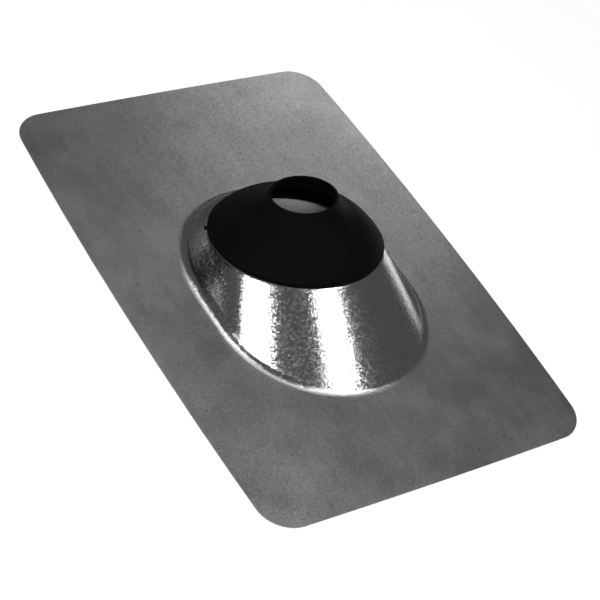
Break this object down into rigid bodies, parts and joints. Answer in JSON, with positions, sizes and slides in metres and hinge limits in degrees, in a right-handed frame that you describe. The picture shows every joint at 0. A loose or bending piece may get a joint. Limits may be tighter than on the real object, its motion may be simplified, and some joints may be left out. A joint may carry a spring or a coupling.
{
  "type": "pipe flashing boot",
  "caption": "Roof flashing for a small vent pipe: a rounded galvanised plate drawn up into a leaning cone, with a flexible black collar whose lip grips the pipe.",
  "frame": {"origin": "middle of the plate, on its underside, where it lies on the roof deck", "axes": "+Z out of the roof deck, +Y up the slope along the plate's length, +X across the slope"},
  "size_m": [0.232, 0.3336, 0.0558],
  "materials": {
    "galvanised_steel": "spangled zinc, satin on the plate and bright on the drawn cone",
    "rubber": "matt moulded"
  },
  "bodies": {
    "root": {"base_flashing": "galvanised_steel", "collar": "rubber"}
  },
  "joints": []
}
